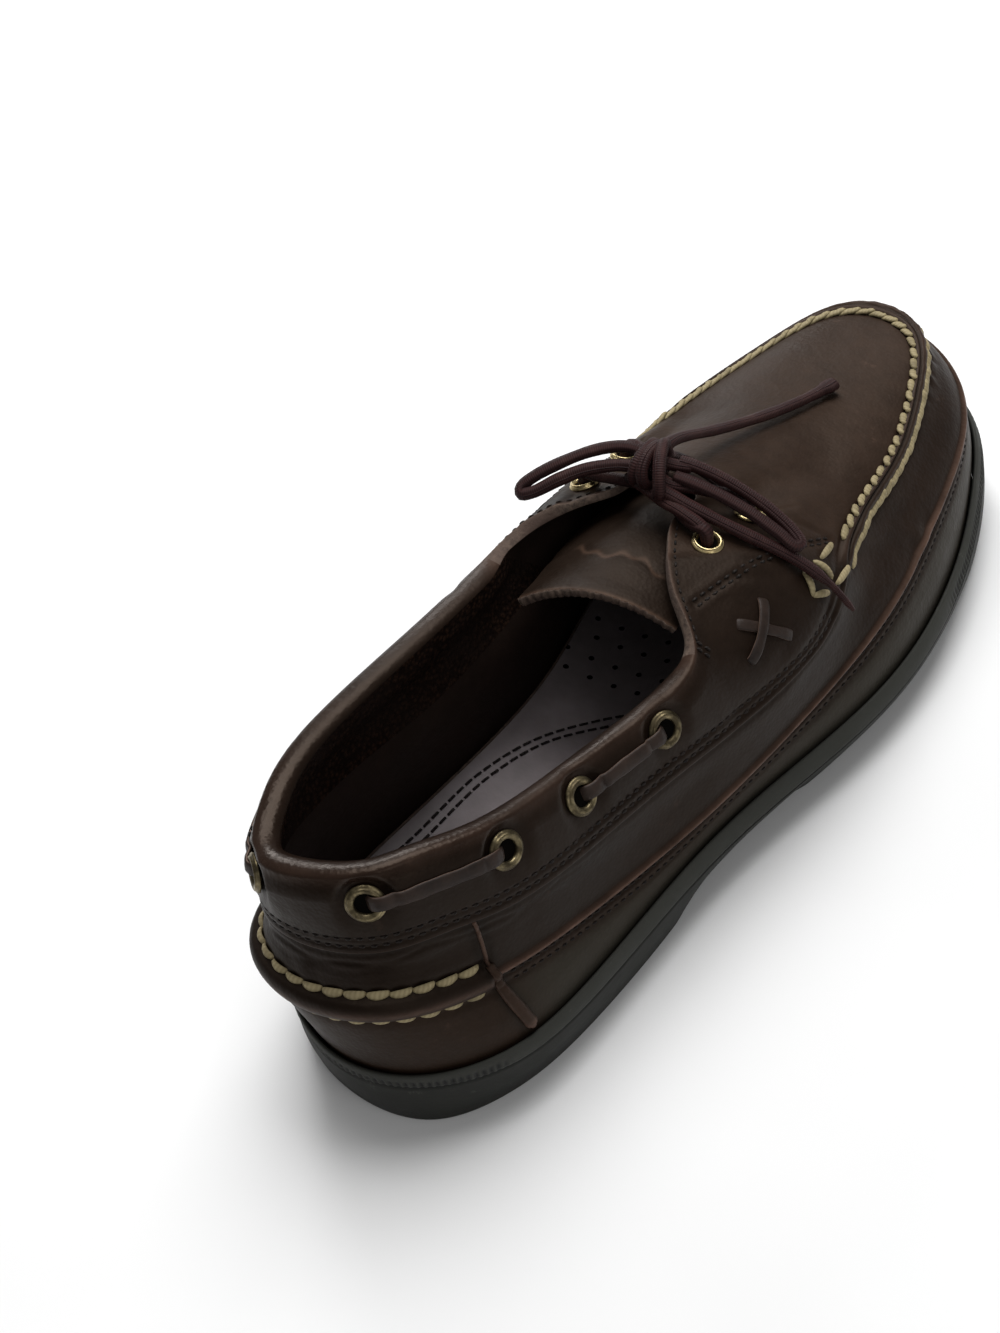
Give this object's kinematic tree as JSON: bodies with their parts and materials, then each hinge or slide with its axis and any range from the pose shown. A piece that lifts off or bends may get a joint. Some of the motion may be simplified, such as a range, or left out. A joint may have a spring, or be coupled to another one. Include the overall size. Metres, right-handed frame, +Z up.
{
  "type": "shoe",
  "caption": "Worn dark brown leather boat shoe for the right foot, with a rolled moc seam, rubber cup sole, rawhide collar lacing and a tied cotton lace.",
  "frame": {"origin": "On the ground under the middle of the shoe's bounding box, measured without the tied bow.", "axes": "+X to the outer side of the right foot, +Y from heel to toe, +Z up."},
  "size_m": [0.1102, 0.2942, 0.0935],
  "materials": {
    "leather": "very dark brown oiled leather, worn lighter along its edges",
    "sole_rubber": "charcoal rubber, matte, faintly dusty",
    "footbed": "dark worn insole cover",
    "antique_brass": "dulled antique brass",
    "bright_brass": "polished brass",
    "rawhide": "flat rawhide strip, waxed",
    "lace_cotton": "waxed braided cotton, burgundy brown"
  },
  "bodies": {
    "root": {"upper": "leather", "tongue": "leather", "outsole": "sole_rubber", "insole": "footbed", "collar_eyelet_outer_1": "antique_brass", "collar_eyelet_outer_2": "antique_brass", "collar_eyelet_outer_3": "antique_brass", "collar_eyelet_outer_4": "antique_brass", "collar_eyelet_inner_1": "antique_brass", "collar_eyelet_inner_2": "antique_brass", "collar_eyelet_inner_3": "antique_brass", "collar_eyelet_inner_4": "antique_brass", "lace_eyelet_outer_1": "bright_brass", "lace_eyelet_outer_2": "bright_brass", "lace_eyelet_inner_1": "bright_brass", "lace_eyelet_inner_2": "bright_brass", "collar_lacing_outer_rear": "rawhide", "collar_lacing_outer_front": "rawhide", "collar_lacing_inner_rear": "rawhide", "collar_lacing_inner_front": "rawhide", "lace_bar_rear": "lace_cotton", "lace_bar_front": "lace_cotton", "lace_knot": "lace_cotton", "lace_loop_inner": "lace_cotton", "lace_loop_outer": "lace_cotton", "lace_end_plug": "lace_cotton", "lace_end_side": "lace_cotton"}
  },
  "joints": []
}
